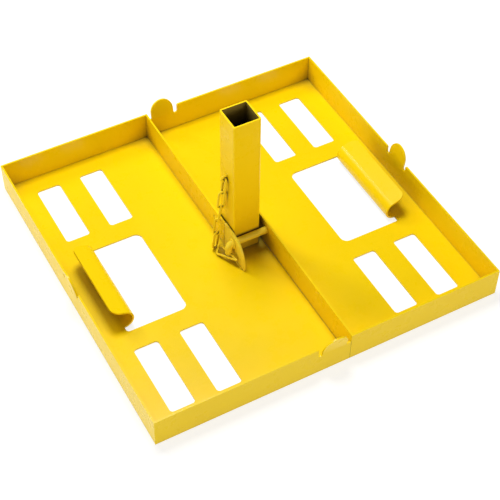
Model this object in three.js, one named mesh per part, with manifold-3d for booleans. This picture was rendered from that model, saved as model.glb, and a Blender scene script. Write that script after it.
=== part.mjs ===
// A knock-down steel post base: two identical folded trays that lock round a square post tube
// with a tethered lock pin. Millimetres, +Z up, origin on the ground at the middle of the base.
import * as THREE from 'three';
import { mergeVertices } from 'three/addons/utils/BufferGeometryUtils.js';
import Module from 'manifold-3d';

const wasm = await Module();
wasm.setup();

// Driving dimensions
const BASE_X = 610;               // across both trays
const BASE_Y = 597;
const WALL_HEIGHT = 54.6;
const SHEET = 3;
const TONGUE = 29;                // how far each floor reaches past the middle
const SEAM = 0.25;                // each tray stands this far back from the seam between them
const GAP = 0.3;                  // between pieces that touch
const LAP = 0.2;                  // how far a straight stretch runs into the bend that it joins

const SLOT = { columns: [160.2, 239.5], width: 42, near: 128, far: 260.4, corner: 5.5 };
const WINDOW = { inner: 145.7, halfLength: 91.4, corner: 12, relief: 4.8 };
const GRIP = { bend: 253, radius: 18.3, sweep: 160, flange: 25, halfLength: 80, corner: 14 };

const EAR = { radius: 21.5, centre: 50.5, bendLine: 40.5, notch: 7, flare: 2.5 };
const OUTER_EAR = { offset: 1.5, lean: 9, lift: 4.5 };     // halfway along the tray's outer wall
const SEAM_EAR = { offset: -0.5, lean: 12, lift: 0 };      // at the end of the tray's front wall

const PLATE = { thick: 4, nose: 68, shoulder: 33, noseHeight: 8 };
const PIN = { y: -31, z: 37, radius: 6, hole: 6.4, tip: 37, tipChamfer: 1.2 };
const PIN_LEG = { bend: 8, end: 14.2, chamfer: 2.5 };
const COLLAR = { radius: 9.5, thick: 2.6 };
const DETENT = { x: 34.2, ball: 1.6, depth: 4.65, play: 0.3, bore: 2, spring: [0.9, 1.5] };

const POST = { x: -2.5, y: 0.6, half: 24, wall: 2.7, corner: 3, top: 281.5 };

const WIRE = 2;                   // radius of the chain, staple and ring wire
const LINK = { straight: 23, bow: 5.5, play: 0.35 };
const CHAIN_TOP = { x: -29.6, z: 158 };
const CHAIN_LEAN = 7.8;           // degrees outward from straight down
const LINK_TURNS = [-5, 75, 145, 50, 115];   // each link's turn about the chain, degrees
const STAPLE = { bow: 4.6, reach: 4.5 };

const RING = { eyeHeight: 18, near: [-36.4, -53.5], far: [-44.4, -7.2], low: [-54.5, -14.5, 6.4], corner: 4.5 };

const INNER_FACE = TONGUE + SEAM;             // the centre wall's face towards the post
const OUTER_FACE = INNER_FACE + SHEET;
const yellow = { color: 0xf5c400, roughness: 0.38, metalness: 0.1 };

// Solids
function solid(geometry) {
  geometry.deleteAttribute('normal');
  geometry.deleteAttribute('uv');
  const merged = mergeVertices(geometry, 1e-4);
  return new wasm.Manifold(new wasm.Mesh({
    numProp: 3,
    vertProperties: new Float32Array(merged.attributes.position.array),
    triVerts: new Uint32Array(merged.index.array),
  }));
}

function geometryOf(body) {
  const mesh = body.getMesh();
  const geometry = new THREE.BufferGeometry();
  geometry.setAttribute('position', new THREE.BufferAttribute(mesh.vertProperties, 3));
  geometry.setIndex(new THREE.BufferAttribute(mesh.triVerts, 1));
  return geometry;
}

function join(...bodies) {
  return bodies.reduce((whole, body) => whole.add(body));
}

function cut(body, ...tools) {
  return tools.reduce((left, tool) => left.subtract(tool), body);
}

function block(x0, x1, y0, y1, z0, z1) {
  const geometry = new THREE.BoxGeometry(x1 - x0, y1 - y0, z1 - z0);
  return solid(geometry.translate((x0 + x1) / 2, (y0 + y1) / 2, (z0 + z1) / 2));
}

// A shape in the XY plane, made into a prism from z0 to z1
function prism(shape, z0, z1, curveSegments = 8) {
  const geometry = new THREE.ExtrudeGeometry(shape, { depth: z1 - z0, bevelEnabled: false, curveSegments });
  return geometry.translate(0, 0, z0);
}

// A shape drawn as (y, z), made into a prism from x0 to x1
function prismAlongX(shape, x0, x1, curveSegments = 8) {
  const turn = new THREE.Matrix4().makeBasis(
    new THREE.Vector3(0, 1, 0), new THREE.Vector3(0, 0, 1), new THREE.Vector3(1, 0, 0));
  return prism(shape, x0, x1, curveSegments).applyMatrix4(turn);
}

// A shape drawn as (x, z), made into a prism from y0 to y1
function prismAlongY(shape, y0, y1, curveSegments = 8) {
  const turn = new THREE.Matrix4().makeBasis(
    new THREE.Vector3(1, 0, 0), new THREE.Vector3(0, 0, 1), new THREE.Vector3(0, -1, 0));
  return prism(shape, -y1, -y0, curveSegments).applyMatrix4(turn);
}

// A solid turned about X or Z from a profile of [place along the axis, radius]
function turned(axis, profile, at, sides = 24) {
  const points = profile.map(([along, radius]) => new THREE.Vector2(radius, along));
  const geometry = new THREE.LatheGeometry(points, sides);
  if (axis === 'x') geometry.rotateZ(-Math.PI / 2);
  if (axis === 'z') geometry.rotateX(Math.PI / 2);
  return solid(geometry.translate(...at));
}

function bar(axis, a, b, radius, at, sides = 24) {
  return turned(axis, [[a, 0], [a, radius], [b, radius], [b, 0]], at, sides);
}

// A rectangle with its own radius at each corner, from the lower left corner, anticlockwise
function roundedRectangle(x0, y0, x1, y1, [a, b, c, d]) {
  const shape = new THREE.Shape();
  shape.moveTo(x0 + a, y0);
  shape.lineTo(x1 - b, y0);
  if (b) shape.absarc(x1 - b, y0 + b, b, -Math.PI / 2, 0);
  shape.lineTo(x1, y1 - c);
  if (c) shape.absarc(x1 - c, y1 - c, c, 0, Math.PI / 2);
  shape.lineTo(x0 + d, y1);
  if (d) shape.absarc(x0 + d, y1 - d, d, Math.PI / 2, Math.PI);
  shape.lineTo(x0, y0 + a);
  if (a) shape.absarc(x0 + a, y0 + a, a, Math.PI, 1.5 * Math.PI);
  return shape;
}

const all = (radius) => [radius, radius, radius, radius];

// The left tray

function floorSheet() {
  const shape = new THREE.Shape();
  shape.moveTo(-BASE_X / 2, -BASE_Y / 2);
  shape.lineTo(TONGUE - SEAM, -BASE_Y / 2);
  shape.lineTo(TONGUE - SEAM, -SEAM);
  shape.lineTo(-INNER_FACE, -SEAM);
  shape.lineTo(-INNER_FACE, BASE_Y / 2);
  shape.lineTo(-BASE_X / 2, BASE_Y / 2);
  return solid(prism(shape, 0, SHEET));
}

function wallSheets() {
  const [x, y] = [BASE_X / 2, BASE_Y / 2];
  const outer = block(-x, -x + SHEET, -y, y, 0, WALL_HEIGHT);
  const front = block(-x, TONGUE - SEAM, -y, -y + SHEET, 0, WALL_HEIGHT);
  const rear = block(-x, -INNER_FACE, y - SHEET, y, 0, WALL_HEIGHT);
  const centre = block(-OUTER_FACE, -INNER_FACE, SEAM, y, 0, WALL_HEIGHT);
  return join(outer, front, rear, centre);
}

function ballastSlots() {
  const slots = [];
  for (const column of SLOT.columns) {
    for (const side of [-1, 1]) {
      const y0 = side > 0 ? SLOT.near : -SLOT.far;
      const y1 = y0 + SLOT.far - SLOT.near;
      const [x0, x1] = [-column - SLOT.width / 2, -column + SLOT.width / 2];
      slots.push(solid(prism(roundedRectangle(x0, y0, x1, y1, all(SLOT.corner)), -1, SHEET + 1, 4)));
    }
  }
  return slots;
}

function handWindow() {
  const { inner, halfLength, corner, relief } = WINDOW;
  const shape = roundedRectangle(-GRIP.bend, -halfLength, -inner, halfLength, [relief, corner, corner, relief]);
  return solid(prism(shape, -1, SHEET + 1, 6));
}

// The lanced edge of the window, curled up and over into a grip that ends in a rising flange
function gripCurl() {
  const { bend, radius, sweep, flange, halfLength, corner } = GRIP;
  const end = THREE.MathUtils.degToRad(sweep);
  const steps = 14;
  const rim = (r) => Array.from({ length: steps + 1 }, (_, i) => {
    const a = (end * i) / steps;
    return new THREE.Vector2(-bend + r * Math.sin(a), radius - r * Math.cos(a));
  });
  const along = new THREE.Vector2(Math.cos(end), Math.sin(end)).multiplyScalar(flange);
  const outside = rim(radius);
  const inside = rim(radius - SHEET);
  const outline = [
    new THREE.Vector2(-bend - SHEET, 0), ...outside, outside[steps].clone().add(along),
    inside[steps].clone().add(along), ...inside.reverse(), new THREE.Vector2(-bend - SHEET, SHEET),
  ];
  const curl = solid(prismAlongY(new THREE.Shape(outline), -halfLength, halfLength));
  const flangeEnd = Math.min(...outline.map((p) => p.x));
  const plan = roundedRectangle(flangeEnd, -halfLength, 0, halfLength, [corner, 0, 0, corner]);
  return curl.intersect(solid(prism(plan, -1, 2 * WALL_HEIGHT, 6)));
}

// Ears and notches are drawn on their wall: s runs along it and z up, with the ear's centre at s = 0
function earShape(lift) {
  const { radius, centre, bendLine } = EAR;
  const shape = new THREE.Shape();
  shape.moveTo(-radius, bendLine + lift);
  shape.lineTo(radius, bendLine + lift);
  shape.absarc(0, centre + lift, radius, 0, Math.PI);
  return shape;
}

function notchShape(side, lift) {
  const { radius, notch, flare } = EAR;
  const bendLine = EAR.bendLine + lift;
  const [near, far, middle] = [radius, radius + notch, radius + notch / 2].map((s) => side * s);
  const above = WALL_HEIGHT + SHEET;
  const shape = new THREE.Shape();
  shape.moveTo(near, above);
  shape.lineTo(near, bendLine);
  shape.absarc(middle, bendLine, notch / 2, side > 0 ? Math.PI : 0, side > 0 ? 2 * Math.PI : Math.PI, side < 0);
  shape.lineTo(far, WALL_HEIGHT - flare);
  shape.quadraticCurveTo(far, WALL_HEIGHT, far + side * flare, WALL_HEIGHT);
  shape.lineTo(far + side * flare, above);
  return shape;
}

// The two walls that carry an ear: how a shape on each becomes a prism through the sheet, the axis that
// the ear leans along, the sides with a notch, and how far the wall is cut down on the ear's right
const EARED_WALLS = [
  {
    through: (shape, spare) => prismAlongX(shape, -BASE_X / 2 - spare, -BASE_X / 2 + SHEET + spare)
      .translate(0, OUTER_EAR.offset, 0),
    leanRow: 0,
    ear: OUTER_EAR,
    notches: [-1, 1],
    cutTo: EAR.radius,
  },
  {
    through: (shape, spare) => prismAlongY(shape, -BASE_Y / 2 - spare, -BASE_Y / 2 + SHEET + spare)
      .translate(SEAM_EAR.offset, 0, 0),
    leanRow: 1,
    ear: SEAM_EAR,
    notches: [-1],
    cutTo: TONGUE + SHEET,
  },
];

// Cuts the notches and swaps the wall between them for an ear that leans outward
function withEar(tray, { through, leanRow, ear: { lean, lift }, notches, cutTo }) {
  const bendLine = EAR.bendLine + lift;
  const slope = Math.tan(THREE.MathUtils.degToRad(lean));
  const shear = new THREE.Matrix4();
  shear.elements[8 + leanRow] = -slope;
  shear.elements[12 + leanRow] = slope * bendLine;
  const opened = roundedRectangle(-EAR.radius, bendLine, cutTo, WALL_HEIGHT + SHEET, all(0));
  const shapes = [opened, ...notches.map((side) => notchShape(side, lift))];
  const ear = solid(through(earShape(lift), 0).applyMatrix4(shear));
  return cut(tray, ...shapes.map((shape) => solid(through(shape, 1)))).add(ear);
}

function tray() {
  let body = cut(join(floorSheet(), wallSheets()), ...ballastSlots(), handWindow());
  body = join(body, gripCurl());
  body = EARED_WALLS.reduce(withEar, body);
  return cut(body, bar('x', -OUTER_FACE - 1, -INNER_FACE + 1, PIN.hole, [0, -PIN.y, PIN.z], 32));
}

// The centre fittings, as they stand on the left tray

function bracketPlate() {
  const { thick, nose, shoulder, noseHeight } = PLATE;
  const shape = new THREE.Shape();
  shape.moveTo(-nose, SHEET + GAP);
  shape.lineTo(SEAM - GAP, SHEET + GAP);
  shape.lineTo(SEAM - GAP, WALL_HEIGHT);
  shape.lineTo(-shoulder, WALL_HEIGHT);
  shape.absellipse(-shoulder, noseHeight, nose - shoulder, WALL_HEIGHT - noseHeight, Math.PI / 2, Math.PI);
  const plate = solid(prismAlongX(shape, -OUTER_FACE, -OUTER_FACE + thick, 10));
  return cut(plate, bar('x', -OUTER_FACE - 1, -OUTER_FACE + thick + 1, PIN.hole, [0, PIN.y, PIN.z], 32));
}

function crossBar() {
  return bar('x', -OUTER_FACE - 1, OUTER_FACE - GAP, PIN.radius, [0, PIN.y, PIN.z]);
}

function postTube() {
  const { x, y, half, wall, corner, top } = POST;
  const bore = half - wall;
  const outline = roundedRectangle(-half, -half, half, half, all(corner));
  outline.holes.push(roundedRectangle(-bore, -bore, bore, bore, all(1)));
  return solid(prism(outline, SHEET + GAP, top, 4).translate(x, y, 0));
}

function halfBow(radius, keep) {
  return solid(new THREE.TorusGeometry(radius, WIRE, 10, 20)).intersect(keep);
}

// A U of wire welded to the post's left face, its legs one above the other
function stapleWire() {
  const { bow, reach } = STAPLE;
  const face = POST.x - POST.half - GAP;
  const bend = face - reach;
  const low = CHAIN_TOP.z - 2 * WIRE - LINK.play;
  const legs = [low, low + 2 * bow].map((z) => bar('x', bend - LAP, face, WIRE, [0, 0, z], 10));
  const arch = halfBow(bow, block(-2 * bow, 0, -2 * bow, 2 * bow, -bow, bow))
    .rotate([90, 0, 0]).translate([bend, 0, low + bow]);
  return join(...legs, arch);
}

// A link hangs down from the wire centre of its top bow, flat in its own XZ plane
function chainLink() {
  const { straight, bow } = LINK;
  const reach = 2 * bow;
  const legs = [-bow, bow].map((x) => bar('z', -bow - straight - LAP, LAP - bow, WIRE, [x, 0, 0], 10));
  const top = halfBow(bow, block(-reach, reach, 0, reach, -bow, bow)).rotate([90, 0, 0]);
  const bottom = halfBow(bow, block(-reach, reach, -reach, 0, -bow, bow)).rotate([90, 0, 0]);
  return join(...legs, top.translate([0, 0, -bow]), bottom.translate([0, 0, -bow - straight]));
}

const LINK_PITCH = LINK.straight + 2 * LINK.bow - 2 * WIRE - LINK.play;
const LEG_X = -OUTER_FACE - PIN_LEG.bend;

// A round pin whose outer end is bent down into a short leg, with a stop collar against the plate
function lockPin() {
  const { y, z, radius, tip, tipChamfer } = PIN;
  const { bend, end, chamfer } = PIN_LEG;
  const at = [0, y, z];
  const shank = turned('x', [[-OUTER_FACE - LAP, 0], [-OUTER_FACE - LAP, radius], [tip - tipChamfer, radius],
    [tip, radius - tipChamfer], [tip, 0]], at);
  const collar = bar('x', -OUTER_FACE - GAP - COLLAR.thick, -OUTER_FACE - GAP, COLLAR.radius, at, 32);
  const size = bend + radius + 1;
  const elbow = solid(new THREE.TorusGeometry(bend, radius, 24, 32))
    .intersect(block(-size, 0, 0, size, -size, size))
    .rotate([90, 0, 0]).translate([-OUTER_FACE, y, z - bend]);
  const leg = turned('z', [[end, 0], [end, radius - chamfer], [end + chamfer, radius],
    [z - bend + LAP, radius], [z - bend + LAP, 0]], [LEG_X, y, 0]);
  const eye = solid(prismAlongY(circle(WIRE + 2 * GAP, 16), -2 * radius, 2 * radius))
    .rotate([0, 0, ringTurn()]).translate([LEG_X, y, RING.eyeHeight]);
  const pocket = bar('z', z - radius - 1, z + DETENT.bore, DETENT.ball + DETENT.play, [DETENT.x, y, 0], 16);
  return cut(join(shank, collar, elbow, leg), eye, pocket);
}

function circle(radius, sides) {
  const turn = (2 * Math.PI) / sides;
  return new THREE.Shape(Array.from({ length: sides }, (_, i) => (
    new THREE.Vector2(radius * Math.cos(i * turn), radius * Math.sin(i * turn)))));
}

// The angle from +Y of the ring's upper side, in degrees about Z
function ringTurn() {
  const [dx, dy] = [RING.far[0] - RING.near[0], RING.far[1] - RING.near[1]];
  return -THREE.MathUtils.radToDeg(Math.atan2(dx, dy));
}

function detentBall() {
  const ball = new THREE.SphereGeometry(DETENT.ball, 16, 10);
  return solid(ball.translate(DETENT.x, PIN.y, PIN.z - DETENT.depth));
}

// The coil behind the ball, as the sleeve that it fills
function detentSpring() {
  const [bore, outside] = DETENT.spring;
  const bottom = -DETENT.depth + DETENT.ball + GAP;
  const top = DETENT.bore - GAP;
  const profile = [[bore, bottom], [outside, bottom], [outside, top], [bore, top], [bore, bottom]]
    .map(([r, h]) => new THREE.Vector2(r, h));
  const sleeve = new THREE.LatheGeometry(profile, 16).rotateX(Math.PI / 2);
  return solid(sleeve.translate(DETENT.x, PIN.y, PIN.z));
}

// A triangle of bent wire whose ends butt in the middle of its lower side
function pinRing() {
  const { near, far, low, eyeHeight, corner } = RING;
  const [a, b, c] = [[...near, eyeHeight], [...far, eyeHeight], low].map((p) => new THREE.Vector3(...p));
  const start = a.clone().lerp(c, 0.5);
  const butt = c.clone().sub(a).setLength(GAP / 2);
  const path = new THREE.CurvePath();
  let from = start.clone().sub(butt);
  for (const [point, next] of [[a, b], [b, c], [c, start]]) {
    const into = point.clone().add(from.clone().sub(point).setLength(corner));
    const out = point.clone().add(next.clone().sub(point).setLength(corner));
    path.add(new THREE.LineCurve3(from, into));
    path.add(new THREE.QuadraticBezierCurve3(into, point, out));
    from = out;
  }
  path.add(new THREE.LineCurve3(from, start.clone().add(butt)));
  const options = { steps: 70, bevelEnabled: false, extrudePath: path };
  return solid(new THREE.ExtrudeGeometry(circle(WIRE, 10), options));
}

// The assembly

function part(name, body, parent) {
  const material = new THREE.MeshStandardMaterial(yellow);
  const mesh = new THREE.Mesh(geometryOf(body), material);
  mesh.name = name;
  parent.add(mesh);
  return mesh;
}

const base = new THREE.Group();
const leftHalf = new THREE.Group();
const rightHalf = new THREE.Group();
rightHalf.rotation.z = Math.PI;
base.add(leftHalf, rightHalf);

part('left_tray', tray(), leftHalf);
part('right_tray', tray(), rightHalf);
part('left_bracket_plate', bracketPlate(), leftHalf);
part('right_bracket_plate', bracketPlate(), rightHalf);
part('rear_cross_bar', crossBar(), rightHalf);

part('post_tube', postTube(), base);
part('chain_staple', stapleWire(), base);

const chain = new THREE.Group();
chain.position.set(CHAIN_TOP.x, 0, CHAIN_TOP.z);
chain.rotation.y = THREE.MathUtils.degToRad(CHAIN_LEAN);
base.add(chain);
LINK_TURNS.forEach((turn, i) => {
  const link = part(`chain_link_${i + 1}`, chainLink(), chain);
  link.position.z = -i * LINK_PITCH;
  link.rotation.z = THREE.MathUtils.degToRad(turn - 90);
});

part('lock_pin', lockPin(), base);
part('pin_detent_ball', detentBall(), base);
part('pin_detent_spring', detentSpring(), base);
part('pin_ring', pinRing(), base);

export default base;
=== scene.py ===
"""Looks of the knock-down steel post base.

Bevelled sheet metal, round wire, weld beads and powder coat, built round the fixed CAD frame.
All lengths are in metres, except the ring's corners.
"""
import math

import bmesh
import bpy
from mathutils import Matrix, Vector, noise


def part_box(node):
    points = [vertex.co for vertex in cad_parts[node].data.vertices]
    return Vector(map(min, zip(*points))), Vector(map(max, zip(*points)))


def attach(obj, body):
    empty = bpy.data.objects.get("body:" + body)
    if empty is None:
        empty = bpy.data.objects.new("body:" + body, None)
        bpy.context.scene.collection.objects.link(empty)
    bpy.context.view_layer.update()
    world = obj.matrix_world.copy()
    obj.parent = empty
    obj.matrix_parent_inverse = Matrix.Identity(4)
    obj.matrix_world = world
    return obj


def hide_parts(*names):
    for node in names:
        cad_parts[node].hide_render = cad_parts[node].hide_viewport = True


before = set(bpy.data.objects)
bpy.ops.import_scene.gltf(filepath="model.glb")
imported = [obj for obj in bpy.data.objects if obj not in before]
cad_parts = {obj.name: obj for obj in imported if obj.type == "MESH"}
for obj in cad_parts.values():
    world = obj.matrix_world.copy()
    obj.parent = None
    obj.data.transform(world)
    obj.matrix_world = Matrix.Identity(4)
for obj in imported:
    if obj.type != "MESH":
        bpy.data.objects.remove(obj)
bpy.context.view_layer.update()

MM = 0.001

# Sheet and edges
SHEET = 3 * MM
SAME_POINT = 2e-6
FLAT_ANGLE = math.radians(0.6)
SMOOTH_ANGLE = math.radians(32)
BROKEN_ANGLE = math.radians(28)
TRAY_EDGE = 2.6 * MM
PLATE_EDGE = 0.7 * MM
BAR_EDGE = 0.8 * MM
POST_EDGE = 0.5 * MM
PIN_EDGE = 0.5 * MM
TRAY_SEGMENTS = 4
EDGE_SEGMENTS = 3
NORMAL_WEIGHT = 80

# Which tray edges are bends, and how much of TRAY_EDGE each kind takes
LONG_EDGE = 60 * MM
TALL_EDGE = 30 * MM
FOOT_HEIGHT = 0.1 * MM
OUTER_X, OUTER_Y = 303 * MM, 297 * MM
CORNER_X, CORNER_Y = 300 * MM, 290 * MM
UPRIGHT_PLAY = 1e-5
INNER_FOLD, OUTER_FOLD, CORNER_FOLD, CUT_EDGE = 0.55, 1.0, 0.75, 0.13

# Wire: a hair thinner than the CAD wire, so that neighbours stay clear
WIRE = 2 * MM
WIRE_DRAWN = WIRE * 0.985
WIRE_SIDES = 20
LINK_WELD = {"length": 2.6 * MM, "swell": 0.16 * MM}
LINK_UNEVEN = {"height": 0.03 * MM, "scale": 900}
LINK_STEPS = {"bow": 18, "side": 16}
STAPLE_STEPS = {"bow": 16, "leg": 4}
RING_GAP = 0.15 * MM
RING_STEPS = {"side": 8, "corner": 10}
LINKS = 5

# The ring's corners and how far each is rounded, in millimetres
RING_POINTS = [(-36.4, -53.5, 18), (-44.4, -7.2, 18), (-54.5, -14.5, 6.4)]
RING_CORNER = 4.5

# How a link's long direction is searched for: from a slanted start, in turns
SEARCH_START = (0.31, 0.52, 0.79)
SEARCH_TURNS = 200

# The inside of the post: mill scale under painted shade, darkest deep down
BORE_MARGIN = 1.2 * MM
UPRIGHT_NORMAL = 0.3
BORE_SHADE_FADE = {"from": 42 * MM, "to": 1 * MM}

# Weld beads: ripple is the pitch of the ripples, taper the steps over which an end grows to full size
BEAD = {"ripple": 1.3 * MM, "sides": 8, "least": 12, "taper": 5, "tip": 0.12}
BEAD_WAVE = {"ripple": 0.10, "uneven": 0.14, "scale": 0.21}
STEPS_PER_RIPPLE = 4
PLATE_BEAD = {"width": 2.4 * MM, "height": 2.2 * MM}
PLATE_BEAD_SPANS = ((0.08, 0.40), (0.62, 0.93))
STAPLE_BEAD = {"width": 1.0 * MM, "height": 1.2 * MM, "radius": WIRE * 0.9, "steps": 12}
RIGHT_SEED, STAPLE_SEED = 3, 9

# Paint colours, linear
# The pale colour is both a random paler tone and the painted highlight on edges
BODY, DEEP, PALE_TONE_AND_HIGHLIGHT = (0.945, 0.67, 0.001), (0.91, 0.62, 0.001), (0.97, 0.77, 0.02)
POST_BODY, POST_DEEP = (0.985, 0.675, 0.004), (0.96, 0.63, 0.004)
FITTING_BODY, FITTING_DEEP = (0.99, 0.76, 0.04), (0.93, 0.67, 0.04)
CHAIN_BODY, CHAIN_DEEP = (0.93, 0.68, 0.015), (0.76, 0.52, 0.015)
WELD_BODY, WELD_DEEP = (0.88, 0.60, 0.004), (0.74, 0.47, 0.006)
# Painted shade in joints and pockets
POCKET_SHADE_COLOUR = (0.085, 0.062, 0.035)
CHIPPED = (0.24, 0.17, 0.06)
# Painted shade inside the post: near black deep down over mill scale blotches, and a shaded coat tone near
# the rim
SCALE_AND_SHADE_DARK, SCALE_AND_SHADE_LIGHT = (0.010, 0.008, 0.006), (0.035, 0.026, 0.016)
BORE_SHADE_NEAR_RIM = (0.46, 0.33, 0.05)
STEEL_DARK, STEEL_LIGHT = (0.36, 0.35, 0.33), (0.62, 0.61, 0.58)

# Paint detail: the edge mask for a painted highlight and for chips, and painted shade in pockets
EDGE_RADIUS = 0.9 * MM
EDGE_LEAN = (0.995, 0.86)
EDGE_SAMPLES = 6
# Painted shade from AO: samples, each distance with the AO at which it is full and gone, and less of it on
# faces at the ground
POCKET_SAMPLES = 16
SHADED_POCKETS = ((6 * MM, 0.2, 0.66), (60 * MM, 0.1, 0.54))
UNDERSIDE = {"height": 1 * MM, "share": 0.25}

# Studio
WORLD_LIGHT = 0.13
FLOOR_TONES = (0.34, 0.34, 0.34), (0.37, 0.37, 0.37)
FLOOR_GLOW = 0.78
FLOOR_RADIUS = 6
FLOOR_SIDES = 64
FLOOR_DROP = 0.2 * MM
WHITE = (1.0, 1.0, 1.0)
WARM = (1.0, 0.9, 0.74)
LIGHTS = (
    {"name": "overhead", "where": (0.0, 0.42, 1.65), "target": (0, 0, 0),
     "size": (0.6, 0.6), "power": 22, "colour": WHITE},
    {"name": "left_key", "where": (-2.3, 0.2, 0.42), "target": (0, 0, 0.08),
     "size": (1.8, 0.7), "power": 13, "colour": WHITE},
    {"name": "front_fill", "where": (0.5, -2.4, 0.9), "target": (0, 0, 0.1),
     "size": (1.5, 0.9), "power": 14, "colour": WARM},
    {"name": "rear_strip", "where": (-0.75, 1.55, 1.75), "target": (0.2, 0, 0.05),
     "size": (0.35, 0.9), "power": 13, "colour": WHITE},
)
POST_SPOT = {"where": (0.1, -1.6, 0.62), "target": (0, 0, 0.175), "power": 15,
             "angle": math.radians(10), "radius": 0.12}

# Camera
CAMERA_PLACE = (-0.6966, -1.2742, 1.6030)
CAMERA_RIGHT = (0.87701, -0.48040, 0.00829)
CAMERA_FORWARD = (0.32487, 0.58017, -0.74690)
LENS, SENSOR = 92.88, 36
CLIP = 0.05, 50


# Materials

def node(tree, kind, **values):
    made = tree.nodes.new(kind)
    for key, value in values.items():
        setattr(made, key, value)
    return made


def noise_node(tree, coords, scale, detail=2.0, roughness=0.5):
    made = node(tree, "ShaderNodeTexNoise")
    made.inputs["Scale"].default_value = scale
    made.inputs["Detail"].default_value = detail
    made.inputs["Roughness"].default_value = roughness
    tree.links.new(coords, made.inputs["Vector"])
    return made.outputs["Fac"]


def ramp(tree, source, span, values):
    """source over span becomes a value from values[0] to values[1]."""
    made = node(tree, "ShaderNodeMapRange", clamp=True)
    for name, value in zip(("From Min", "From Max", "To Min", "To Max"), (*span, *values)):
        made.inputs[name].default_value = value
    tree.links.new(source, made.inputs["Value"])
    return made.outputs["Result"]


def mix(tree, factor, a, b):
    made = node(tree, "ShaderNodeMix", data_type="RGBA")
    for socket, value in ((made.inputs[0], factor), (made.inputs[6], a), (made.inputs[7], b)):
        if isinstance(value, tuple):
            socket.default_value = (*value, 1)
        else:
            tree.links.new(value, socket)
    return made.outputs[2]


def product(tree, a, b):
    made = node(tree, "ShaderNodeMath", operation="MULTIPLY")
    tree.links.new(a, made.inputs[0])
    tree.links.new(b, made.inputs[1])
    return made.outputs[0]


def height(tree, coords):
    """How far a point stands above the ground at rest."""
    split = node(tree, "ShaderNodeSeparateXYZ")
    tree.links.new(coords, split.inputs[0])
    return split.outputs["Z"]


def edge_mask(tree):
    """1 on the bends and cut edges, 0 on the flats: how far a rounded normal leans off the true one."""
    bevel = node(tree, "ShaderNodeBevel", samples=EDGE_SAMPLES)
    bevel.inputs["Radius"].default_value = EDGE_RADIUS
    geometry = node(tree, "ShaderNodeNewGeometry")
    dot = node(tree, "ShaderNodeVectorMath", operation="DOT_PRODUCT")
    tree.links.new(bevel.outputs["Normal"], dot.inputs[0])
    tree.links.new(geometry.outputs["Normal"], dot.inputs[1])
    return ramp(tree, dot.outputs["Value"], EDGE_LEAN, (0.0, 1.0))


def painted_pocket_shade(tree, distance, shut, open_):
    """Painted shade: 1 in the joints and pockets, down to 0 where AO within distance is open_."""
    made = node(tree, "ShaderNodeAmbientOcclusion", samples=POCKET_SAMPLES)
    made.inputs["Distance"].default_value = distance
    return ramp(tree, made.outputs["AO"], (shut, open_), (1.0, 0.0))


def principled(name, metallic=0.0, specular=0.5, coat=0.0, coat_roughness=0.1):
    material = bpy.data.materials.new(name)
    material.use_nodes = True
    tree = material.node_tree
    shader = tree.nodes["Principled BSDF"]
    shader.inputs["Metallic"].default_value = metallic
    shader.inputs["Specular IOR Level"].default_value = specular
    shader.inputs["Coat Weight"].default_value = coat
    shader.inputs["Coat Roughness"].default_value = coat_roughness
    coords = node(tree, "ShaderNodeTexCoord").outputs["Object"]
    return material, tree, shader, coords


def bump_chain(tree, shader, layers):
    """Stacked bumps of (height source, strength, distance)."""
    last = None
    for source, strength, distance in layers:
        made = node(tree, "ShaderNodeBump")
        made.inputs["Strength"].default_value = strength
        made.inputs["Distance"].default_value = distance
        tree.links.new(source, made.inputs["Height"])
        if last:
            tree.links.new(last, made.inputs["Normal"])
        last = made.outputs["Normal"]
    tree.links.new(last, shader.inputs["Normal"])


def powder_coat(name, body, deep, rough=(0.24, 0.36), peel=0.12, wear=0.0, rim=0.7, pocket_shade_strength=0.8):
    """Yellow powder coat.

    Orange peel and soft changes of tone, a painted highlight in a pale colour on edges, painted shade in
    joints and pockets but little of it under the tray, and with wear, chips on the edges.
    """
    material, tree, shader, coords = principled(name, specular=0.14, coat=0.04, coat_roughness=0.08)
    broad = noise_node(tree, coords, scale=5.5, detail=3.0)
    fine = noise_node(tree, coords, scale=260.0, detail=4.0, roughness=0.6)
    grain = noise_node(tree, coords, scale=1500.0)
    colour = mix(tree, ramp(tree, broad, (0.35, 0.68), (0.0, 0.55)), body, deep)
    colour = mix(tree, ramp(tree, fine, (0.45, 0.75), (0.0, 0.12)), colour, PALE_TONE_AND_HIGHLIGHT)
    edges = edge_mask(tree)
    # Painted highlight: the edges are mixed towards the pale colour by rim
    colour = mix(tree, ramp(tree, edges, (0.0, 1.0), (0.0, rim)), colour, PALE_TONE_AND_HIGHLIGHT)
    # Painted shade in joints and pockets from AO, weaker on faces at the ground
    above = ramp(tree, height(tree, coords), (0.0, UNDERSIDE["height"]), (UNDERSIDE["share"], 1.0))
    for distance, shut, open_ in SHADED_POCKETS:
        painted_shade = ramp(tree, painted_pocket_shade(tree, distance, shut, open_), (0.0, 1.0), (0.0, pocket_shade_strength))
        colour = mix(tree, product(tree, painted_shade, above), colour, POCKET_SHADE_COLOUR)
    if wear:
        chips = noise_node(tree, coords, scale=420.0, detail=5.0, roughness=0.7)
        worn = product(tree, edges, ramp(tree, chips, (0.60, 0.68), (0.0, wear)))
        colour = mix(tree, worn, colour, CHIPPED)
    tree.links.new(colour, shader.inputs["Base Color"])
    scuff = noise_node(tree, coords, scale=34.0, detail=5.0, roughness=0.65)
    tree.links.new(ramp(tree, scuff, (0.3, 0.75), rough), shader.inputs["Roughness"])
    orange_peel = noise_node(tree, coords, scale=620.0, detail=1.5, roughness=0.45)
    sheet_wave = noise_node(tree, coords, scale=9.0, detail=1.0)
    bump_chain(tree, shader, [
        (sheet_wave, 0.05, 0.4 * MM),
        (orange_peel, peel, 0.04 * MM),
        (grain, 0.04, 0.01 * MM),
    ])
    return material


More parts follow.
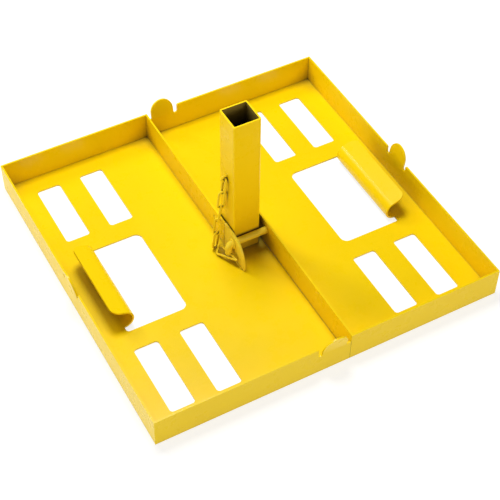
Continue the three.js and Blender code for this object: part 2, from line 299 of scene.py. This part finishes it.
def dark_bore(name):
    """Inside the tube: painted shade over blotched mill scale, a shaded coat tone near the rim fading within
    a few centimetres to near black.
    """
    material, tree, shader, coords = principled(name, specular=0.3)
    blotch = noise_node(tree, coords, scale=90.0, detail=4.0, roughness=0.6)
    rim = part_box("post_tube")[1].z
    # Painted shade: lighter towards the rim, near black deeper down
    fade = ramp(tree, height(tree, coords), (rim - BORE_SHADE_FADE["from"], rim - BORE_SHADE_FADE["to"]), (0.0, 0.85))
    scale = mix(tree, blotch, SCALE_AND_SHADE_DARK, SCALE_AND_SHADE_LIGHT)
    tree.links.new(mix(tree, fade, scale, BORE_SHADE_NEAR_RIM), shader.inputs["Base Color"])
    tree.links.new(ramp(tree, blotch, (0.3, 0.7), (0.5, 0.75)), shader.inputs["Roughness"])
    bump_chain(tree, shader, [(blotch, 0.2, 0.1 * MM)])
    return material


def steel(name):
    material, tree, shader, coords = principled(name, metallic=1.0)
    grain = noise_node(tree, coords, scale=1800.0, detail=4.0, roughness=0.7)
    tree.links.new(mix(tree, grain, STEEL_DARK, STEEL_LIGHT), shader.inputs["Base Color"])
    tree.links.new(ramp(tree, grain, (0.3, 0.7), (0.22, 0.42)), shader.inputs["Roughness"])
    bump_chain(tree, shader, [(grain, 0.15, 0.02 * MM)])
    return material


TRAY = powder_coat("tray_powder_coat", BODY, DEEP)
POST = powder_coat("post_powder_coat", POST_BODY, POST_DEEP, wear=0.35)
BORE = dark_bore("bore_scale_and_shade")
FITTING = powder_coat("fitting_powder_coat", FITTING_BODY, FITTING_DEEP, peel=0.25, wear=0.8, pocket_shade_strength=0.08)
CHAIN = powder_coat("chain_powder_coat", CHAIN_BODY, CHAIN_DEEP, rough=(0.2, 0.34), peel=0.3, wear=0.9,
                    pocket_shade_strength=0.65)
WELD = powder_coat("weld_powder_coat", WELD_BODY, WELD_DEEP, peel=0.6)
STEEL = steel("bare_steel")


# Pieces

def link_object(obj):
    bpy.context.scene.collection.objects.link(obj)
    return obj


def smooth(mesh):
    for face in mesh.polygons:
        face.use_smooth = True
    mesh.set_sharp_from_angle(angle=SMOOTH_ANGLE)


def finished(bm, name):
    """bm as a smooth mesh with its normals outwards."""
    bmesh.ops.recalc_face_normals(bm, faces=bm.faces)
    mesh = bpy.data.meshes.new(name)
    bm.to_mesh(mesh)
    bm.free()
    smooth(mesh)
    return mesh


def add_piece(name, mesh, material, body, replaces=()):
    obj = link_object(bpy.data.objects.new(name, mesh))
    mesh.materials.clear()
    mesh.materials.append(material)
    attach(obj, body)
    if replaces:
        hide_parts(*replaces)
    return obj


def cad_copy(cad_node):
    """The node's mesh with its vertices welded and its flat triangles dissolved."""
    bm = bmesh.new()
    bm.from_mesh(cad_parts[cad_node].data)
    bmesh.ops.remove_doubles(bm, verts=bm.verts, dist=SAME_POINT)
    bmesh.ops.dissolve_limit(bm, angle_limit=FLAT_ANGLE, verts=bm.verts, edges=bm.edges, delimit={"NORMAL"})
    bm.normal_update()
    return bm


def bevelled(name, cad_node, material, body, width, fold=None, segments=EDGE_SEGMENTS):
    """A copy of a CAD node with its edges broken by width, or by width times fold(edge, angle)."""
    bm = cad_copy(cad_node)
    layer = bm.edges.layers.float.new("bevel_weight_edge")
    for edge in bm.edges:
        if len(edge.link_faces) != 2:
            continue
        angle = edge.calc_face_angle_signed(0)
        if abs(angle) < BROKEN_ANGLE:
            continue
        edge[layer] = fold(edge, angle) if fold else 1.0
    mesh = bpy.data.meshes.new(name)
    bm.to_mesh(mesh)
    bm.free()
    obj = link_object(bpy.data.objects.new(name + "_raw", mesh))
    bevel = obj.modifiers.new("edges", "BEVEL")
    bevel.width = width
    bevel.segments = segments
    bevel.limit_method = "WEIGHT"
    bevel.use_clamp_overlap = True
    bevel.miter_outer = "MITER_ARC"
    bevel.harden_normals = False
    weighted = obj.modifiers.new("normals", "WEIGHTED_NORMAL")
    weighted.keep_sharp = True
    weighted.weight = NORMAL_WEIGHT
    smooth(mesh)
    final = bpy.data.meshes.new_from_object(obj.evaluated_get(bpy.context.evaluated_depsgraph_get()))
    bpy.data.objects.remove(obj)
    final.name = name
    return add_piece(name, final, material, body, [cad_node])


def tray_fold(edge, angle):
    """Bends in the sheet get a full fold radius, and sheared or punched edges a small one."""
    a, b = (v.co for v in edge.verts)
    long_edge = (a - b).length > LONG_EDGE
    if angle < 0 and long_edge:
        return INNER_FOLD
    low = max(a.z, b.z) < FOOT_HEIGHT
    x, y = abs(a.x + b.x) / 2, abs(a.y + b.y) / 2
    if low and long_edge and (x > OUTER_X or y > OUTER_Y):
        return OUTER_FOLD
    upright = abs(a.x - b.x) < UPRIGHT_PLAY and abs(a.y - b.y) < UPRIGHT_PLAY and abs(a.z - b.z) > TALL_EDGE
    if upright and x > CORNER_X and y > CORNER_Y:
        return CORNER_FOLD
    return CUT_EDGE


def tube(name, points, radii, closed):
    """A round tube through points, with a radius at each, and flat ends if it is open."""
    bm = bmesh.new()
    count = len(points)
    rings = []
    up = None
    for i, point in enumerate(points):
        before = points[i - 1] if (closed or i > 0) else point
        after = points[(i + 1) % count] if (closed or i < count - 1) else point
        along = (after - before).normalized()
        if up is None:
            up = along.orthogonal().normalized()
        up = (up - along * up.dot(along)).normalized()
        side = along.cross(up)
        rings.append([bm.verts.new(point + radii[i] * (math.cos(t) * up + math.sin(t) * side))
                      for t in (2 * math.pi * k / WIRE_SIDES for k in range(WIRE_SIDES))])
    turn = 0
    if closed:
        first = rings[0][0].co
        turn = min(range(WIRE_SIDES), key=lambda k: (rings[-1][k].co - first).length)
    for i in range(count if closed else count - 1):
        ring, after = rings[i], rings[(i + 1) % count]
        shift = turn if i == count - 1 else 0
        for k in range(WIRE_SIDES):
            bm.faces.new((ring[(k + shift) % WIRE_SIDES], ring[(k + 1 + shift) % WIRE_SIDES],
                          after[(k + 1) % WIRE_SIDES], after[k]))
    if not closed:
        bm.faces.new(rings[0][::-1])
        bm.faces.new(rings[-1])
    return finished(bm, name)


def half_turn(centre, a, b, steps):
    """Points from centre + a round by b to centre - a."""
    return [centre + math.cos(t) * a + math.sin(t) * b
            for t in (math.pi * k / steps for k in range(steps + 1))]


def spread_of(points, centre):
    """The matrix that says how far points spread from centre in each direction."""
    spread = Matrix(((0,) * 3,) * 3)
    for p in points:
        d = p - centre
        for r in range(3):
            for c in range(3):
                spread[r][c] += d[r] * d[c]
    return spread


def strongest(spread):
    """The direction that a symmetric matrix stretches the most."""
    v = Vector(SEARCH_START)
    for _ in range(SEARCH_TURNS):
        v = (spread @ v).normalized()
    return v


def link_axes(points, centre):
    """The directions in which a link is long and wide."""
    spread = spread_of(points, centre)
    long = strongest(spread)
    rest = Matrix(spread)
    top = long.dot(spread @ long)
    for r in range(3):
        for c in range(3):
            rest[r][c] -= top * long[r] * long[c]
    wide = strongest(rest)
    return long, (wide - long * wide.dot(long)).normalized()


def link_mesh(cad_node):
    """A chain link of round wire on the line of its CAD node, with a resistance weld on one leg."""
    points = [v.co.copy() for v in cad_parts[cad_node].data.vertices]
    centre = sum(points, Vector()) / len(points)
    long, wide = link_axes(points, centre)
    spans = [[(p - centre).dot(axis) for p in points] for axis in (long, wide)]
    centre += sum(((max(s) + min(s)) / 2 * axis for s, axis in zip(spans, (long, wide))), Vector())
    half_long, half_wide = ((max(s) - min(s)) / 2 for s in spans)
    bow = half_wide - WIRE
    reach = half_long - WIRE - bow
    steps = LINK_STEPS["side"]
    line = half_turn(centre + long * reach, wide * bow, long * bow, LINK_STEPS["bow"])
    line += [centre - wide * bow + long * reach * (1 - 2 * k / steps) for k in range(1, steps)]
    line += half_turn(centre - long * reach, -wide * bow, -long * bow, LINK_STEPS["bow"])
    line += [centre + wide * bow + long * reach * (2 * k / steps - 1) for k in range(1, steps)]
    weld = centre + wide * bow
    radii = []
    for p in line:
        near = max(0.0, 1 - (p - weld).length / LINK_WELD["length"])
        uneven = LINK_UNEVEN["height"] * noise.noise(p * LINK_UNEVEN["scale"])
        radii.append(WIRE_DRAWN + LINK_WELD["swell"] * near + uneven)
    return tube(cad_node, line, radii, True)


def staple_mesh():
    low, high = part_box("chain_staple")
    bow = (high.z - low.z) / 2 - WIRE
    y = (low.y + high.y) / 2
    middle = Vector((low.x + WIRE + bow, y, (low.z + high.z) / 2))
    face = high.x
    steps = STAPLE_STEPS["leg"]
    leg = face - middle.x
    line = [Vector((face - leg * k / steps, y, middle.z - bow)) for k in range(steps)]
    line += half_turn(middle, Vector((0, 0, -bow)), Vector((-bow, 0, 0)), STAPLE_STEPS["bow"])
    line += [Vector((middle.x + leg * k / steps, y, middle.z + bow)) for k in range(1, steps + 1)]
    return tube("chain_staple", line, [WIRE_DRAWN] * len(line), False)


def ring_mesh():
    """The bent triangle of wire, its ends butted in the middle of its lower side."""
    a, b, c = (Vector(p) * MM for p in RING_POINTS)
    start = a.lerp(c, 0.5)
    butt = (c - a).normalized() * RING_GAP
    side, bend = RING_STEPS["side"], RING_STEPS["corner"]
    line, last = [], start - butt
    for point, after in ((a, b), (b, c), (c, start)):
        into = point + (last - point).normalized() * RING_CORNER * MM
        out = point + (after - point).normalized() * RING_CORNER * MM
        line += [last.lerp(into, k / side) for k in range(side)]
        line += [into.lerp(point, t).lerp(point.lerp(out, t), t) for t in (k / bend for k in range(bend))]
        last = out
    line += [last.lerp(start + butt, k / side) for k in range(side + 1)]
    return tube("pin_ring", line, [WIRE_DRAWN] * len(line), False)


def paint_bore(post):
    """The faces inside the post take the dark material of mill scale and painted shade."""
    low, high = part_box("post_tube")
    middle = (low + high) / 2
    reach = (high.x - low.x) / 2 - BORE_MARGIN
    post.data.materials.append(BORE)
    for face in post.data.polygons:
        away = face.center - middle
        inside = max(abs(away.x), abs(away.y)) < reach
        faces_in = abs(face.normal.z) < UPRIGHT_NORMAL and face.normal.dot(away) < 0
        if inside and faces_in:
            face.material_index = 1


def bead_rings(bm, path, width, tall, seed):
    """The rings of a rippled bead that grows from a small tip at each end of path."""
    length = sum((b[0] - a[0]).length for a, b in zip(path, path[1:]))
    count = max(BEAD["least"], int(length / (BEAD["ripple"] / STEPS_PER_RIPPLE)))
    rings = []
    for i in range(count + 1):
        share = i / count * (len(path) - 1)
        k = min(int(share), len(path) - 2)
        point, across, up = (path[k][n].lerp(path[k + 1][n], share - k) for n in range(3))
        end = min(1.0, math.sqrt(max(0.0, min(i, count - i)) / BEAD["taper"]))
        ripple = BEAD_WAVE["ripple"] * math.sin(2 * math.pi * i / STEPS_PER_RIPPLE)
        uneven = BEAD_WAVE["uneven"] * noise.noise(Vector((i * BEAD_WAVE["scale"], seed, 0)))
        grow = max(BEAD["tip"], end) * (1 + ripple + uneven)
        turns = (math.pi * s / (BEAD["sides"] - 1) for s in range(BEAD["sides"]))
        wide, high = across * width * grow, up * tall * grow
        rings.append([bm.verts.new(point + wide * math.cos(a) + high * math.sin(a)) for a in turns])
    return rings


def weld_bead(name, path, width, tall, body, seed):
    """A rippled fillet weld along path, a list of (point, across, up) with across and up at right angles."""
    bm = bmesh.new()
    rings = bead_rings(bm, path, width, tall, seed)
    for r, s in zip(rings, rings[1:]):
        for k in range(BEAD["sides"]):
            j = (k + 1) % BEAD["sides"]
            bm.faces.new((r[k], r[j], s[j], s[k]))
    bm.faces.new(rings[0][::-1])
    bm.faces.new(rings[-1])
    add_piece(name, finished(bm, name), WELD, body)


def plate_welds(side):
    """Two beads along the foot of a bracket plate, on its outer face."""
    low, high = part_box(side + "_bracket_plate")
    face, out, seed = (low.x, -1, 0) if side == "left" else (high.x, 1, RIGHT_SEED)
    across, up = Vector((out, 0, 0)), Vector((0, 0, 1))
    for n, span in enumerate(PLATE_BEAD_SPANS):
        path = [(Vector((face, low.y + share * (high.y - low.y), SHEET)), across, up) for share in span]
        weld_bead(f"{side}_plate_weld_{n + 1}", path, PLATE_BEAD["width"], PLATE_BEAD["height"],
                  side + "_half", seed + n)


def staple_welds():
    """A ring of weld round each leg of the staple, where it meets the post."""
    low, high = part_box("chain_staple")
    y = (low.y + high.y) / 2
    steps = STAPLE_BEAD["steps"]
    for n, z in enumerate((low.z + WIRE, high.z - WIRE)):
        centre = Vector((high.x, y, z))
        path = []
        for k in range(steps + 1):
            t = 2 * math.pi * k / steps
            spoke = Vector((0, math.cos(t), math.sin(t)))
            path.append((centre + spoke * STAPLE_BEAD["radius"], spoke, Vector((-1, 0, 0))))
        weld_bead(f"staple_weld_{n + 1}", path, STAPLE_BEAD["width"], STAPLE_BEAD["height"],
                  "post", STAPLE_SEED + n)


def halves():
    for side in ("left", "right"):
        body = side + "_half"
        bevelled(side + "_tray_sheet", side + "_tray", TRAY, body, TRAY_EDGE,
                 tray_fold, TRAY_SEGMENTS)
        bevelled(side + "_plate", side + "_bracket_plate", FITTING, body, PLATE_EDGE)
    bevelled("cross_bar", "rear_cross_bar", FITTING, "right_half", BAR_EDGE)


def post_and_pin():
    post = bevelled("square_post", "post_tube", POST, "post", POST_EDGE)
    paint_bore(post)
    bevelled("bent_lock_pin", "lock_pin", FITTING, "pin", PIN_EDGE)


def wire_pieces():
    add_piece("wire_staple", staple_mesh(), CHAIN, "post", ["chain_staple"])
    add_piece("wire_ring", ring_mesh(), CHAIN, "ring", ["pin_ring"])
    for number in range(1, LINKS + 1):
        cad_node = f"chain_link_{number}"
        add_piece(f"wire_link_{number}", link_mesh(cad_node), CHAIN, f"link_{number}",
                  [cad_node])


def detent():
    """The ball and its spring keep their CAD meshes, in bare steel."""
    for cad_node in ("pin_detent_ball", "pin_detent_spring"):
        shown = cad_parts[cad_node]
        shown.data.materials.clear()
        shown.data.materials.append(STEEL)
        for face in shown.data.polygons:
            face.use_smooth = True


# Stage, light and camera

def stage_floor():
    material, tree, shader, coords = principled("studio_floor", specular=0.1)
    tone = noise_node(tree, coords, scale=3.0)
    tree.links.new(mix(tree, tone, *FLOOR_TONES), shader.inputs["Base Color"])
    shader.inputs["Roughness"].default_value = 0.9
    shader.inputs["Emission Color"].default_value = (*WHITE, 1)
    shader.inputs["Emission Strength"].default_value = FLOOR_GLOW
    bm = bmesh.new()
    bmesh.ops.create_circle(bm, cap_ends=True, segments=FLOOR_SIDES, radius=FLOOR_RADIUS)
    mesh = bpy.data.meshes.new("studio_floor")
    bm.to_mesh(mesh)
    bm.free()
    mesh.materials.append(material)
    obj = link_object(bpy.data.objects.new("studio_floor", mesh))
    obj.location.z = -FLOOR_DROP


def aimed_light(data, where, target):
    lamp = link_object(bpy.data.objects.new(data.name, data))
    lamp.location = where
    lamp.rotation_mode = "QUATERNION"
    lamp.rotation_quaternion = (Vector(target) - Vector(where)).to_track_quat("-Z", "Y")


def area_light(name, where, target, size, power, colour):
    data = bpy.data.lights.new(name, "AREA")
    data.shape = "RECTANGLE"
    data.size, data.size_y = size
    data.energy = power
    data.color = colour
    aimed_light(data, where, target)


def post_spot():
    """A soft pool of light on the post's front."""
    data = bpy.data.lights.new("post_spot", "SPOT")
    data.energy = POST_SPOT["power"]
    data.spot_size = POST_SPOT["angle"]
    data.spot_blend = 1.0
    data.shadow_soft_size = POST_SPOT["radius"]
    aimed_light(data, POST_SPOT["where"], POST_SPOT["target"])


def studio():
    stage_floor()
    world = bpy.data.worlds.new("studio")
    world.use_nodes = True
    background = world.node_tree.nodes["Background"]
    background.inputs["Color"].default_value = (*WHITE, 1)
    background.inputs["Strength"].default_value = WORLD_LIGHT
    bpy.context.scene.world = world
    for values in LIGHTS:
        area_light(**values)
    post_spot()
    bpy.context.scene.view_settings.view_transform = "Standard"


def camera():
    right = Vector(CAMERA_RIGHT).normalized()
    forward = Vector(CAMERA_FORWARD).normalized()
    down = forward.cross(right).normalized()
    data = bpy.data.cameras.new("camera")
    data.lens, data.sensor_width = LENS, SENSOR
    data.clip_start, data.clip_end = CLIP
    view = link_object(bpy.data.objects.new("camera", data))
    columns = (right, -down, -forward)
    turn = Matrix([[columns[c][r] for c in range(3)] for r in range(3)])
    view.matrix_world = Matrix.Translation(CAMERA_PLACE) @ turn.to_4x4()
    bpy.context.scene.camera = view


halves()
post_and_pin()
wire_pieces()
detent()
plate_welds("left")
plate_welds("right")
staple_welds()
studio()
camera()
